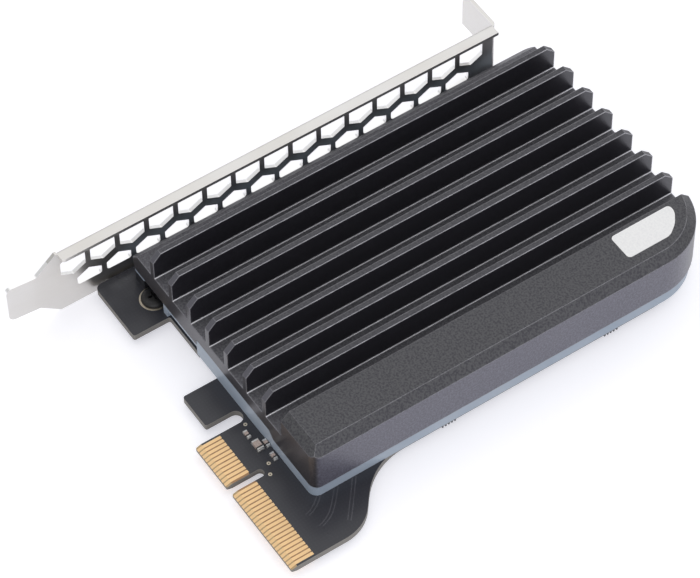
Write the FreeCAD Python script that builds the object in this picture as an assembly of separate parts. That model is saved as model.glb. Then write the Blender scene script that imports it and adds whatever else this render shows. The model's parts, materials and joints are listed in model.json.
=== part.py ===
import FreeCAD, Part
import math
import os

Vector = FreeCAD.Vector

# Frame: X runs along the card away from the bracket, Y from the contact tips to the card's top,
# Z out of the component side. The origin is the bracket-side corner of the contact tips, on the
# component face. All lengths are in millimetres.

# circuit board
boardThick = 1.57
boardInset = 1.3             # far edge inside the heatsink's far side
boardTopInset = 3.05         # top edge inside the heatsink's top end
boardTopRadius = 13.0
boardGap = 0.36              # between the board and the inside of the bracket's fold
tabFoot = 4.4                # lowest edge of the board's bracket-side tab
tabReach = 15.5              # width of that tab along X
tabRadius = 1.5
boardFoot = 13.15            # lower edge between the tab and the hidden recess
recessWidth = 7.4            # hidden recess beside the hook
recessDepth = 1.05
hookWidth = 8.7
hookFoot = 4.5
slotWidth = 3.2              # between the hook and the contacts
slotDepth = 12.2
shoulderCorner = 17.6        # where the contact section's side would meet the diagonal
shoulderRadius = 9.7
rootCorner = 27.4            # where the diagonal would meet the far edge
rootRadius = 16.0
boardCorner = 0.5            # small corners of the board's lower edge
tipCorner = 0.3              # corners of the contact sections

# edge contacts, in two groups with a key notch between them
contactPitch = 1.0
contactWidth = 0.7
contactInset = 0.8           # first contact's centre from its section's side
contactTop = 5.58
contactThick = 0.04
frontCount = 11
rearCount = 21
keyWidth = 1.95
keyDepth = 8.2
bevelLength = 1.3            # sloped lead-in at the contact tips
bevelRise = 0.45

# slot bracket
sheet = 0.86
plateFace = -46.46           # face of the plate towards the board
plateTop = 106.6
plateFoot = -3.5             # where the shoulders start
bracketWidth = 18.42
tongueWidth = 10.19
tongueTip = -15.3
tongueTop = -8.3
tongueRadius = 1.5
tongueFillet = 1.0           # where the tongue meets the shoulders
tongueBend = -9.0            # from here on the tongue leans away from the board
tongueLean = 0.5             # by this much at its tip
bendRadius = 0.1             # inside of every fold
flangeReach = 2.15           # stiffening flange, from the plate's inner face
flangeFoot = -3.0
plateCorner = 0.8            # small corners of the plate, its flange and the tab's lip
tabOut = 10.5                # top tab, from the plate's outer face
tabCorner = 3.0
lipOut = 2.3                 # short side of the top tab
notchWidth = 4.42
notchOffset = -2.89          # notch centre above the bracket's middle
notchReach = 4.1             # notch centre from the plate's outer face
footWidth = 9.0              # board-mounting feet
footReach = 13.9
footRelief = 0.6
footRadius = 1.5

# perforation of the plate: two rows of interlocking house-shaped cells
cellPitch = 7.125
cellWeb = 1.25
cellSlope = 28.0             # degrees, of the zigzag web between the rows
zigzagWeb = 2.1
cellRadius = 0.6             # at each cell's flat end
cellStart = 0.3              # first cell's centre
upperCells = 15
upperMargin = 3.5            # flat ends of the cells from the bracket's edges
lowerMargin = 5.18
shoulderHeight = 1.82        # upper row's shoulders above the bracket's middle

# spacer frame between the board and the heatsink
frameHeight = 3.5
frameInset = 0.5             # frame's far side and top end inside the heatsink's
frameNearInset = 0.1         # frame's bracket side inside the heatsink's
frameStep = 0.15             # frame foot inside the heatsink's end face
lipStart = -19.3             # raised part of the frame's foot
lipWidth = 27.3
lipSlope = 1.5
lipRise = 1.7
setbackWidth = 11.5          # undercut between the raised part and the first screw's foot
setbackDepth = 1.6
setbackLip = 1.0             # thickness left over the undercut
frameRadius = 1.5            # inside of the screw's recess, and the frame's top corner
frameOverlap = 0.5           # raised part's root in the frame
nearBand = 13.7              # frame's bands, from the heatsink's outer sides
farBand = 9.8
footBand = 2.9
topBand = 5.55
bayRadius = 2.0

# heatsink
sinkGap = 2.76               # between the bracket's plate and the heatsink
sinkWidth = 68.0
sinkFoot = 12.6
sinkLength = 100.95
sinkHeight = 12.2
baseThick = 5.2
finPitch = 6.96
finThick = 1.3
finCount = 7
blockWidth = 11.65
chamfer = 2.0
footCorner = 0.5             # bracket-side corner of the heatsink's and the frame's foot
cornerRadius = 2.0
largeRadius = 14.0
finRoot = 0.2
pocketDepth = 2.2
pocketMargin = 2.5           # pocket side beyond the socket's side
pocketRadius = 1.5

# drive socket, standoff and pad
driveCentre = -5.65
socketWidth = 21.9
socketDepth = 8.7
socketHeight = 4.2
socketGap = 1.5              # socket above the frame's foot band
socketSlot = 1.5
socketSlotFloor = 1.9
socketCheek = 0.95           # housing beside each end of the slot
socketSeat = 3.8             # drive's end from the socket's foot face
socketHood = 1.4             # top of the slot set back from the housing's face
socketLead = 0.8             # length of the slot's lead-in slopes
socketLeadDrop = 0.5         # and their rise below and above the slot
socketRound = 0.4
socketStep = 0.2             # cheeks below the housing's top
keyOffset = 6.125            # rib in the socket's slot, from its middle
keyRib = 1.0
tailPitch = 0.5
tailWidth = 0.22
tailLength = 0.8
tailThick = 0.15
tailCount = 34
keySkip = 4                  # tails left out at the rib
anchorWidth = 0.9
anchorLength = 2.6
anchorThick = 0.2
pegRadius = 0.55
pegLength = 1.2
driveLength = 80.0
standoffHeight = 2.45
standoffRadius = 2.1
standoffFoot = 1.2
standoffFootRadius = 1.25    # standoff's foot in the board
padWidth = 20.0
padLength = 70.0
padThick = 1.0
padStart = 2.0               # pad's foot end beyond the socket

# screws
fitGap = 0.05                # thread and peg clearances, all round
capHead = 2.75               # bracket screws, low round heads
capHeight = 1.2
capShank = 1.45
capEnd = 0.5                 # thread end beyond the bracket's foot
capClear = 0.5               # frame clear of the head
capRoom = 1.4                # and on the lower head's far side
capReach = 10.1              # bracket screws from the plate
capFoot = 0.35               # lower one above the heatsink's foot end
capTop = 9.6                 # upper one below the bracket's top
capRing = 3.15               # plated ring under each head
ringThick = 0.035
sinkHead = 2.3               # heatsink screws, low round heads
sinkHeadHeight = 1.3
sinkShank = 1.2
sinkBite = 3.5               # thread in the heatsink
holeClear = 0.2              # through holes round a shank
nearScrewInset = 5.7         # heatsink screws from the heatsink's sides and ends
farScrewInset = 5.3
cornerScrewInset = 6.5
footScrewInset = 11.4
farFootScrewInset = 7.9
topScrewInset = 9.55
cornerScrewDrop = 12.55
driveHead = 2.4
driveHeadHeight = 0.75
driveShank = 0.9
driveBite = 2.6
screwEdge = 0.3              # chamfer on the screws' edges
crossWidth = 0.7             # cross recess
crossArm = 1.12              # from its centre to each end
crossDepth = 0.5

# chip capacitors and via caps near the contacts: centre along X, and up from the contacts
smallChip = (1.8, 0.85, 0.6)
smallChipSpots = ((3.4, 4.57), (7.35, 6.62), (10.85, 6.12))
largeChip = (2.5, 1.5, 0.9)
largeChipSpots = ((6.95, 4.87),)
chipCap = 0.38               # length of each terminal
chipShell = 0.03             # terminal beyond the body, all round
viaSpots = ((1.0, 5.72), (11.6, 4.42), (14.0, 3.22))
viaCap = 0.42

# derived positions shared by several pieces
cellWidth = cellPitch - cellWeb
bendOuter = bendRadius + sheet
plateOut = plateFace - sheet
boardLeft = plateFace + bendRadius + boardGap
boardUnder = -boardThick
bracketUnder = boardUnder - sheet
bracketOver = bracketUnder + bracketWidth
bracketMiddle = (bracketUnder + bracketOver) / 2
tabRight = boardLeft + tabReach
frontEnd = (frontCount - 1) * contactPitch + 2 * contactInset
rearStart = frontEnd + keyWidth
rearEnd = rearStart + (rearCount - 1) * contactPitch + 2 * contactInset
sinkLeft = plateFace + sinkGap
sinkRight = sinkLeft + sinkWidth
sinkEnd = sinkFoot + sinkLength
sinkUnder = frameHeight
sinkTop = sinkUnder + sinkHeight
sinkFloor = sinkUnder + baseThick
blockStart = sinkRight - blockWidth
boardRight = sinkRight - boardInset
boardTop = sinkEnd - boardTopInset
frameFoot = sinkFoot + frameStep
bayLeft = sinkLeft + nearBand
bayRight = sinkRight - farBand
bayFoot = sinkFoot + footBand
bayTop = sinkEnd - topBand
socketFoot = bayFoot + socketGap
socketTopEnd = socketFoot + socketDepth
driveEnd = socketFoot + socketSeat
standoffY = driveEnd + driveLength
capX = plateFace + capReach
capY = (sinkFoot + capFoot, plateTop - capTop)
sinkScrews = (
    (sinkLeft + nearScrewInset, sinkFoot + footScrewInset),
    (sinkRight - farScrewInset, sinkFoot + farFootScrewInset),
    (sinkLeft + nearScrewInset, sinkEnd - topScrewInset),
    (sinkRight - cornerScrewInset, sinkEnd - cornerScrewDrop),
)
smallChips = [(x, contactTop + rise) for x, rise in smallChipSpots]
largeChips = [(x, contactTop + rise) for x, rise in largeChipSpots]
pocketTop = standoffY + driveHead + pocketMargin
padY = socketTopEnd + padStart


def inXY(z):
    return lambda u, v: Vector(u, v, z)


def inXZ(y):
    return lambda u, v: Vector(u, y, v)


def inYZ(x):
    return lambda u, v: Vector(x, u, v)


def outline(corners, place):
    """Closed face through corners given as (u, v, radius); each radius rounds its own corner."""
    count = len(corners)
    rounded = []
    for i in range(count):
        u, v, radius = corners[i]
        beforeU, beforeV = corners[i - 1][:2]
        afterU, afterV = corners[(i + 1) % count][:2]
        inLength = math.hypot(u - beforeU, v - beforeV)
        outLength = math.hypot(afterU - u, afterV - v)
        inU, inV = (u - beforeU) / inLength, (v - beforeV) / inLength
        outU, outV = (afterU - u) / outLength, (afterV - v) / outLength
        turn = math.acos(max(-1.0, min(1.0, inU * outU + inV * outV)))
        if radius == 0:
            rounded.append(((u, v), None, (u, v)))
            continue
        reach = radius * math.tan(turn / 2)
        bulge = radius / math.cos(turn / 2) - radius
        acrossU, acrossV = outU - inU, outV - inV
        across = math.hypot(acrossU, acrossV)
        middle = (u + acrossU / across * bulge, v + acrossV / across * bulge)
        start = (u - inU * reach, v - inV * reach)
        end = (u + outU * reach, v + outV * reach)
        rounded.append((start, middle, end))
    edges = []
    for i in range(count):
        last = rounded[i - 1][2]
        start, middle, end = rounded[i]
        if math.hypot(start[0] - last[0], start[1] - last[1]) > 1e-6:
            edges.append(Part.LineSegment(place(*last), place(*start)).toShape())
        if middle is not None:
            edges.append(Part.Arc(place(*start), place(*middle), place(*end)).toShape())
    return Part.Face(Part.Wire(edges))


def prismZ(corners, low, high):
    return outline(corners, inXY(low)).extrude(Vector(0, 0, high - low))


def prismY(corners, low, high):
    return outline(corners, inXZ(low)).extrude(Vector(0, high - low, 0))


def prismX(corners, low, high):
    return outline(corners, inYZ(low)).extrude(Vector(high - low, 0, 0))


def box(x0, x1, y0, y1, z0, z1):
    return Part.makeBox(x1 - x0, y1 - y0, z1 - z0, Vector(x0, y0, z0))


def rod(x, y, radius, low, high):
    return Part.makeCylinder(radius, high - low, Vector(x, y, low))


def turned(x, y, corners):
    """Solid of revolution about the vertical through (x, y), from (radius, height, rounding)."""
    face = outline(corners, inXZ(0))
    solid = face.revolve(Vector(0, 0, 0), Vector(0, 0, 1), 360)
    solid.translate(Vector(x, y, 0))
    return solid


def cut(body, tools):
    return body.cut(Part.makeCompound(tools)) if tools else body


def save(node, shapes):
    shape = Part.makeCompound(shapes) if len(shapes) > 1 else shapes[0]
    shape.exportStep("parts/" + node + ".step")
    print(node, len(shape.Solids), round(shape.Volume, 2), shape.isValid())


def boardOutline():
    recessStart = -slotWidth - hookWidth - recessWidth
    recessFoot = boardFoot + recessDepth
    notchEnd = keyWidth / 2
    slotEnd = slotWidth / 2
    return [
        (boardLeft, tabFoot, tabRadius),
        (tabRight, tabFoot, boardCorner),
        (tabRight, boardFoot, boardCorner),
        (recessStart, boardFoot, 0),
        (recessStart, recessFoot, 0),
        (-slotWidth - hookWidth, recessFoot, boardCorner),
        (-slotWidth - hookWidth, hookFoot, boardCorner),
        (-slotWidth, hookFoot, boardCorner),
        (-slotWidth, slotDepth, slotEnd),
        (0, slotDepth, slotEnd),
        (0, 0, tipCorner),
        (frontEnd, 0, tipCorner),
        (frontEnd, keyDepth, notchEnd),
        (rearStart, keyDepth, notchEnd),
        (rearStart, 0, tipCorner),
        (rearEnd, 0, tipCorner),
        (rearEnd, shoulderCorner, shoulderRadius),
        (boardRight, rootCorner, rootRadius),
        (boardRight, boardTop, boardTopRadius),
        (boardLeft, boardTop, tabRadius),
    ]


def board():
    body = prismZ(boardOutline(), boardUnder, 0)
    bevels = []
    for surface, away in ((0, 1), (boardUnder, -1)):
        wedge = [(-bevelLength, surface + away * bevelRise, 0),
                 (-bevelLength, surface - away * 2 * bevelRise, 0),
                 (bevelLength, surface, 0),
                 (bevelLength, surface + away * bevelRise, 0)]
        bevels.append(prismX(wedge, -bevelLength, rearEnd + bevelLength))
    holes = [rod(capX, y, capShank + holeClear, boardUnder, 0) for y in capY]
    holes += [rod(x, y, sinkShank + holeClear, boardUnder, 0) for x, y in sinkScrews]
    holes.append(rod(driveCentre, standoffY, standoffFootRadius + fitGap, boardUnder, 0))
    holes += [rod(x, y, pegRadius + fitGap, boardUnder, 0) for x, y in pegSpots()]
    return cut(body, bevels + holes)


def contactCentres():
    front = [contactInset + i * contactPitch for i in range(frontCount)]
    rear = [rearStart + contactInset + i * contactPitch for i in range(rearCount)]
    return front + rear


def contacts(face, away):
    """Fingers on one face of the board; each runs down the bevel to the tip."""
    half = contactWidth / 2
    tip = face - away * bevelRise
    skin = away * contactThick
    section = [(0, tip, 0), (bevelLength, face, 0), (contactTop, face, 0),
               (contactTop, face + skin, 0), (bevelLength, face + skin, 0), (0, tip + skin, 0)]
    return [prismX(section, x - half, x + half) for x in contactCentres()]


def cell(centre, low, high, pointDown):
    """House-shaped opening: its point faces the other row, its flat end the bracket's edge."""
    half = cellWidth / 2
    rise = half * math.tan(math.radians(cellSlope))
    if pointDown:
        return [(centre - half, high, cellRadius), (centre - half, low, 0),
                (centre, low - rise, 0), (centre + half, low, 0),
                (centre + half, high, cellRadius)]
    return [(centre - half, low, cellRadius), (centre + half, low, cellRadius),
            (centre + half, high, 0), (centre, high + rise, 0),
            (centre - half, high, 0)]


def perforation():
    slope = math.radians(cellSlope)
    rise = cellWidth / 2 * math.tan(slope)
    upperShoulder = bracketMiddle + shoulderHeight
    lowerPoint = upperShoulder + cellWeb / 2 * math.tan(slope) - zigzagWeb / math.cos(slope)
    lowerShoulder = lowerPoint - rise
    cells = []
    for i in range(upperCells):
        centre = cellStart + i * cellPitch
        cells.append(cell(centre, upperShoulder, bracketOver - upperMargin, True))
        if i < upperCells - 1:
            middle = centre + cellPitch / 2
            cells.append(cell(middle, bracketUnder + lowerMargin, lowerShoulder, False))
    return [prismX(corners, plateOut - sheet, plateFace + sheet) for corners in cells]


def plateOutline():
    tongueLow = bracketMiddle - tongueWidth / 2
    tongueHigh = bracketMiddle + tongueWidth / 2
    return [
        (tongueBend, tongueLow, 0),
        (tongueTop, tongueLow, tongueFillet),
        (plateFoot, bracketUnder, plateCorner),
        (plateTop - bendOuter, bracketUnder, 0),
        (plateTop - bendOuter, bracketOver - bendOuter, 0),
        (flangeFoot, bracketOver - bendOuter, 0),
        (flangeFoot, bracketOver, 0),
        (plateFoot, bracketOver, 0),
        (tongueTop, tongueHigh, tongueFillet),
        (tongueBend, tongueHigh, 0),
    ]


def tongue():
    low = bracketMiddle - tongueWidth / 2
    high = bracketMiddle + tongueWidth / 2
    strip = prismZ([(plateOut, tongueBend, 0), (plateFace, tongueBend, 0),
                    (plateFace - tongueLean, tongueTip, 0), (plateOut - tongueLean, tongueTip, 0)],
                   low, high)
    front = [(tongueTip, low, tongueRadius), (tongueBend, low, 0), (tongueBend, high, 0),
             (tongueTip, high, tongueRadius)]
    return strip.common(prismX(front, plateOut - 2 * sheet, plateFace + sheet))


def fold(outX, inX, foldStart, foldEnd, reach):
    """Section of a strip that leaves the plate at foldStart and bends over to reach."""
    step = math.copysign(sheet, foldStart - foldEnd)
    return [(outX, foldStart, 0), (outX, foldEnd, bendOuter), (reach, foldEnd, 0),
            (reach, foldEnd + step, 0), (inX, foldEnd + step, bendRadius), (inX, foldStart, 0)]


def flange():
    end = plateFace + flangeReach
    top = plateTop - bendOuter
    section = fold(plateOut, plateFace, bracketOver - bendOuter, bracketOver, end)
    plan = [(plateOut, flangeFoot, 0), (end, flangeFoot, plateCorner), (end, top, 0),
            (plateOut, top, 0)]
    low, high = bracketOver - 2 * bendOuter, bracketOver + sheet
    return prismY(section, flangeFoot, top).common(prismZ(plan, low, high))


def topTab():
    tabEnd = plateOut - tabOut
    lipEnd = plateOut - lipOut
    notchX = plateOut - notchReach
    notchZ = bracketMiddle + notchOffset
    half = notchWidth / 2
    section = fold(plateFace, plateOut, plateTop - bendOuter, plateTop, tabEnd)
    strip = prismZ(section, bracketUnder, bracketOver)
    plan = [(plateFace, bracketUnder, 0), (plateFace, bracketOver, 0),
            (tabEnd, bracketOver, tabCorner),
            (tabEnd, notchZ, 0), (lipEnd, notchZ, 0), (lipEnd, bracketUnder, plateCorner)]
    notch = [(tabEnd - sheet, notchZ - half, 0), (notchX + half, notchZ - half, half),
             (notchX + half, notchZ + half, half), (tabEnd - sheet, notchZ + half, 0)]
    low, high = plateTop - 2 * bendOuter, plateTop + sheet
    return strip.common(prismY(plan, low, high)).cut(prismY(notch, low, high))


def foot(centre):
    """Fold under the board that takes one bracket screw."""
    end = plateFace + footReach
    section = fold(plateOut, plateFace, bracketUnder + bendOuter, bracketUnder, end)
    strip = prismY(section, centre - footWidth / 2, centre + footWidth / 2)
    plan = [(plateOut, centre - footWidth / 2, 0), (end, centre - footWidth / 2, footRadius),
            (end, centre + footWidth / 2, footRadius), (plateOut, centre + footWidth / 2, 0)]
    body = strip.common(prismZ(plan, bracketUnder - sheet, bracketMiddle))
    return body.cut(rod(capX, centre, capShank + fitGap, bracketUnder - sheet, boardUnder + sheet))


def bracket():
    plate = prismX(plateOutline(), plateOut, plateFace)
    reliefs = []
    for centre in capY:
        half = footWidth / 2 + footRelief
        reliefs.append(box(plateOut - sheet, plateFace + sheet, centre - half, centre + half,
                           bracketUnder - sheet, bracketUnder + bendOuter))
    plate = cut(plate, perforation() + reliefs)
    parts = [tongue(), flange(), topTab()] + [foot(centre) for centre in capY]
    return plate.multiFuse(parts).removeSplitter()


def heatsinkSection():
    """Extruded section: base, fins and the solid block along the far side."""
    corners = [(sinkLeft, sinkUnder, 0), (sinkRight, sinkUnder, 0),
               (sinkRight, sinkTop, 0), (blockStart, sinkTop, 0)]
    wall = blockStart
    for i in range(finCount):
        face = wall - (finPitch - finThick)
        corners += [(wall, sinkFloor, finRoot), (face, sinkFloor, finRoot),
                    (face, sinkTop, 0), (face - finThick, sinkTop, 0)]
        wall = face - finThick
    corners += [(wall, sinkFloor, finRoot), (sinkLeft + chamfer, sinkFloor, 0),
                (sinkLeft, sinkFloor - chamfer, 0)]
    return corners


def rectangle(x0, x1, y0, y1, radius, farRadius):
    return [(x0, y0, radius), (x1, y0, radius), (x1, y1, farRadius), (x0, y1, radius)]


def chamferedBlock():
    """Envelope whose top edge is chamfered, planar faces mitred and the large corner conical."""
    corners = rectangle(sinkLeft, sinkRight, sinkFoot, sinkEnd, 0, largeRadius)
    block = prismZ(corners, sinkUnder, sinkTop)
    rim = [edge for edge in block.Edges if edge.BoundBox.ZMin > sinkTop - 1e-4]
    return block.makeChamfer(chamfer, rim)


def lipSection(clearance):
    """Raised part of the frame's foot, as the section that both the frame and heatsink use."""
    end = lipStart + lipWidth
    top = frameHeight + lipRise
    return [(lipStart, frameHeight - clearance, 0), (end + lipSlope, frameHeight - clearance, 0),
            (end + lipSlope, frameHeight, 0), (end, top, 0), (lipStart, top, 0)]


def pocketOutline():
    half = socketWidth / 2 + pocketMargin
    return rectangle(driveCentre - half, driveCentre + half, bayFoot, pocketTop,
                     pocketRadius, pocketRadius)


def heatsink():
    body = prismY(heatsinkSection(), sinkFoot, sinkEnd)
    plan = [(sinkLeft, sinkFoot, footCorner), (sinkRight, sinkFoot, cornerRadius),
            (sinkRight, sinkEnd, largeRadius), (sinkLeft, sinkEnd, cornerRadius)]
    envelope = prismZ(plan, sinkUnder, sinkTop)
    body = body.common(chamferedBlock()).common(envelope)
    tools = [prismY(lipSection(frameHeight), sinkFoot - frameHeight, bayFoot)]
    tools.append(prismZ(pocketOutline(), 0, sinkUnder + pocketDepth))
    depth = sinkBite + 4 * fitGap
    tools += [rod(x, y, sinkShank + fitGap, 0, sinkUnder + depth) for x, y in sinkScrews]
    for tool in tools:
        body = body.cut(tool)
    return body


def spacerFrame():
    left, right = sinkLeft + frameNearInset, sinkRight - frameInset
    end = sinkEnd - frameInset
    clear = capHead + capClear
    far = capHead + capRoom
    corners = [
        (left, frameFoot, footCorner),
        (capX - clear, frameFoot, 0), (capX - clear, capY[0] + clear, frameRadius),
        (capX + far, capY[0] + clear, frameRadius), (capX + far, frameFoot, 0),
        (right, frameFoot, cornerRadius),
        (right, end, largeRadius - frameInset),
        (left, end, frameRadius),
    ]
    body = prismZ(corners, 0, frameHeight)
    lip = prismY(lipSection(frameOverlap), frameFoot, bayFoot + frameOverlap)
    body = body.fuse(lip).removeSplitter()
    bay = rectangle(bayLeft, bayRight, bayFoot, bayTop, bayRadius, bayRadius)
    tools = [prismZ(bay, -frameHeight, 2 * frameHeight + lipRise)]
    tools.append(box(lipStart - setbackWidth, lipStart, frameFoot - setbackDepth,
                     frameFoot + setbackDepth, 0, frameHeight - setbackLip))
    tools += [rod(x, y, sinkShank + holeClear, 0, frameHeight) for x, y in sinkScrews]
    tools += [rod(capX, y, clear, 0, frameHeight) for y in capY[1:]]
    for tool in tools:
        body = body.cut(tool)
    return body


def crossRecess(x, y, face, depth):
    half = crossWidth / 2
    low, high = min(face, face + depth), max(face, face + depth)
    return [box(x - crossArm, x + crossArm, y - half, y + half, low, high),
            box(x - half, x + half, y - crossArm, y + crossArm, low, high)]


def bracketScrews():
    screws = []
    for y in capY:
        seat = ringThick
        top = seat + capHeight
        end = bracketUnder - capEnd
        corners = [(0, end, 0), (capShank, end, 0), (capShank, seat, 0), (capHead, seat, 0),
                   (capHead, top - screwEdge, 0), (capHead - screwEdge, top, 0), (0, top, 0)]
        screw = turned(capX, y, corners)
        for tool in crossRecess(capX, y, top, -crossDepth):
            screw = screw.cut(tool)
        screws.append(screw)
    return screws


def heatsinkScrews():
    screws = []
    for x, y in sinkScrews:
        low = boardUnder - sinkHeadHeight
        high = sinkUnder + sinkBite
        corners = [(0, low, 0), (sinkHead - 2 * screwEdge, low, 0), (sinkHead, low + 2 * screwEdge, 0),
                   (sinkHead, boardUnder, 0), (sinkShank, boardUnder, 0), (sinkShank, high, 0),
                   (0, high, 0)]
        screw = turned(x, y, corners)
        for tool in crossRecess(x, y, low, crossDepth):
            screw = screw.cut(tool)
        screws.append(screw)
    return screws


def driveStandoff():
    bore = driveShank + fitGap
    corners = [(bore, -standoffFoot, 0), (standoffFootRadius, -standoffFoot, 0),
               (standoffFootRadius, 0, 0), (standoffRadius, 0, 0),
               (standoffRadius, standoffHeight, 0), (bore, standoffHeight, 0)]
    return [turned(driveCentre, standoffY, corners)]


def driveScrew():
    top = standoffHeight + driveHeadHeight
    end = standoffHeight - driveBite
    corners = [(0, end, 0), (driveShank, end, 0), (driveShank, standoffHeight, 0),
               (driveHead, standoffHeight, 0), (driveHead, top - screwEdge, 0),
               (driveHead - screwEdge, top, 0), (0, top, 0)]
    screw = turned(driveCentre, standoffY, corners)
    for tool in crossRecess(driveCentre, standoffY, top, -crossDepth):
        screw = screw.cut(tool)
    return [screw]


def thermalPad():
    top = sinkUnder + pocketDepth
    half = padWidth / 2
    corners = rectangle(driveCentre - half, driveCentre + half, padY, padY + padLength, 0, 0)
    return [prismZ(corners, top - padThick, top)]


def pegSpots():
    reach = socketWidth / 2 - 2 * pegRadius
    y = socketFoot + socketDepth / 2
    return [(driveCentre - reach, y), (driveCentre + reach, y)]


def socketHousing():
    low, high = socketFoot, socketTopEnd
    slotLow, slotHigh = socketSlotFloor, socketSlotFloor + socketSlot
    hood = high - socketHood
    root = hood - socketLead
    section = [(low, 0, 0), (high, 0, 0), (high, slotLow - socketLeadDrop, 0),
               (high - socketLead, slotLow, 0), (low + socketSeat, slotLow, 0),
               (low + socketSeat, slotHigh, 0), (root, slotHigh, 0),
               (hood, slotHigh + socketLeadDrop, 0), (hood, socketHeight, 0),
               (low, socketHeight, socketRound)]
    half = socketWidth / 2
    body = prismX(section, driveCentre - half, driveCentre + half)
    ends = []
    for x in (driveCentre - half, driveCentre + half - socketCheek):
        ends.append(box(x, x + socketCheek, low + socketRound, hood, 0,
                        socketHeight - socketStep))
    ribX = driveCentre + keyOffset
    rib = box(ribX - keyRib / 2, ribX + keyRib / 2, low + socketSeat - fitGap, root,
              slotLow - fitGap, slotHigh + fitGap)
    pegs = [rod(x, y, pegRadius, -pegLength, socketStep) for x, y in pegSpots()]
    return [body.multiFuse(ends + [rib] + pegs).removeSplitter()]


def socketTails():
    """Solder tails along both long sides of the socket, with the keyed positions left out."""
    tails = []
    middle = (tailCount + keySkip - 1) / 2
    ribStart = round(middle + (keyOffset - keySkip * tailPitch / 2) / tailPitch)
    for i in range(tailCount + keySkip):
        if ribStart <= i < ribStart + keySkip:
            continue
        x = driveCentre + (i - middle) * tailPitch
        half = tailWidth / 2
        for low, high in ((socketFoot - tailLength, socketFoot),
                          (socketTopEnd, socketTopEnd + tailLength)):
            tails.append(box(x - half, x + half, low, high, 0, tailThick))
    return tails


def socketAnchors():
    anchors = []
    half = socketWidth / 2
    low = socketFoot + socketDepth / 2 - anchorLength / 2
    for side in (-1, 1):
        x = driveCentre + side * half
        foot = [(x, 0, 0), (x + side * anchorWidth, 0, 0), (x + side * anchorWidth, anchorThick, 0),
                (x + side * anchorThick, anchorThick, 0), (x + side * anchorThick, 2 * anchorWidth, 0),
                (x, 2 * anchorWidth, 0)]
        anchors.append(prismY(foot, low, low + anchorLength))
    return anchors


def chipBodies(spots, size):
    length, width, height = size
    inner = length / 2 - chipCap
    return [box(x - inner, x + inner, y - width / 2 + chipShell, y + width / 2 - chipShell,
                chipShell, height - chipShell) for x, y in spots]


def chipTerminals(spots, size):
    length, width, height = size
    ends = []
    for x, y in spots:
        for side in (-1, 1):
            near, far = x + side * (length / 2 - chipCap), x + side * length / 2
            ends.append(box(min(near, far), max(near, far), y - width / 2, y + width / 2, 0, height))
    return ends


def viaCaps():
    return [rod(x, contactTop + rise, viaCap, 0, ringThick) for x, rise in viaSpots]


def screwRings():
    return [rod(capX, y, capRing, 0, ringThick).cut(rod(capX, y, capShank + holeClear, 0, ringThick))
            for y in capY]


os.makedirs("parts", exist_ok=True)
save("circuit_board", [board()])
save("contacts_front", contacts(0, 1))
save("contacts_back", contacts(boardUnder, -1))
save("slot_bracket", [bracket()])
save("bracket_screws", bracketScrews())
save("screw_rings", screwRings())
save("heatsink", [heatsink()])
save("spacer_frame", [spacerFrame()])
save("heatsink_screws", heatsinkScrews())
save("thermal_pad", thermalPad())
save("socket_housing", socketHousing())
save("socket_tails", socketTails())
save("socket_anchors", socketAnchors())
save("drive_standoff", driveStandoff())
save("drive_screw", driveScrew())
save("large_capacitor_body", chipBodies(largeChips, largeChip))
save("large_capacitor_terminals", chipTerminals(largeChips, largeChip))
save("small_capacitor_bodies", chipBodies(smallChips, smallChip))
save("small_capacitor_terminals", chipTerminals(smallChips, smallChip))
save("via_caps", viaCaps())
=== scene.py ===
import bpy
import bmesh
import json
import math
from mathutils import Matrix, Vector


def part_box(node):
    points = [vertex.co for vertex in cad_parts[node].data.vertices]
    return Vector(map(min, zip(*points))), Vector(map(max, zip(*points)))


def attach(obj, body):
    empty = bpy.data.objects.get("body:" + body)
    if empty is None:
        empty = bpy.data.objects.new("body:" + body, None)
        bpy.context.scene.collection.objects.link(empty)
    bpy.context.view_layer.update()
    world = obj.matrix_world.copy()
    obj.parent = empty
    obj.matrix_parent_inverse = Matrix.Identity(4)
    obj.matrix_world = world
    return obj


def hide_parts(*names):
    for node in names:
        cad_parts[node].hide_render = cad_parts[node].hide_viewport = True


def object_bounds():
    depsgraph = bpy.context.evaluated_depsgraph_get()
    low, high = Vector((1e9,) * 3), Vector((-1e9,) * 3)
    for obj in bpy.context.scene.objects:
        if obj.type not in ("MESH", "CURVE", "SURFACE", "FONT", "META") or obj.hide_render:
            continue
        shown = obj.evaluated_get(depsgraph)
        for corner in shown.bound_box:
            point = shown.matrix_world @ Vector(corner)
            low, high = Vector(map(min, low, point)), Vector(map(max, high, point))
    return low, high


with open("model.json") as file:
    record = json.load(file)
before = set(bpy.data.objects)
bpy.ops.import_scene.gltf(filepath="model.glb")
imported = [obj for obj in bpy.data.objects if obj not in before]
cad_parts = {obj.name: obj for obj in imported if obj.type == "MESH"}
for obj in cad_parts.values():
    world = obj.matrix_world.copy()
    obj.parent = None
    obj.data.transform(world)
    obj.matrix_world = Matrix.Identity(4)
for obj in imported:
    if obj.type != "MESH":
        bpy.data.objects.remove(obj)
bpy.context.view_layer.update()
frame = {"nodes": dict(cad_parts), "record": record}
print("stage: frame loaded")

mm = 0.001
mergeDistance = 0.000001
capacitorTerminals = ("large_capacitor_terminals", "small_capacitor_terminals")


def emptyMaterial(name):
    material = bpy.data.materials.new(name)
    material.use_nodes = True
    material.node_tree.nodes.clear()
    return material, material.node_tree, material.node_tree.nodes.new("ShaderNodeOutputMaterial")


def startMaterial(name):
    material, tree, output = emptyMaterial(name)
    shader = tree.nodes.new("ShaderNodeBsdfPrincipled")
    tree.links.new(shader.outputs["BSDF"], output.inputs["Surface"])
    return material, tree, shader


def addNode(tree, kind, **settings):
    node = tree.nodes.new(kind)
    for key, value in settings.items():
        setattr(node, key, value)
    return node


def setInput(node, name, value):
    node.inputs[name].default_value = value


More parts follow.
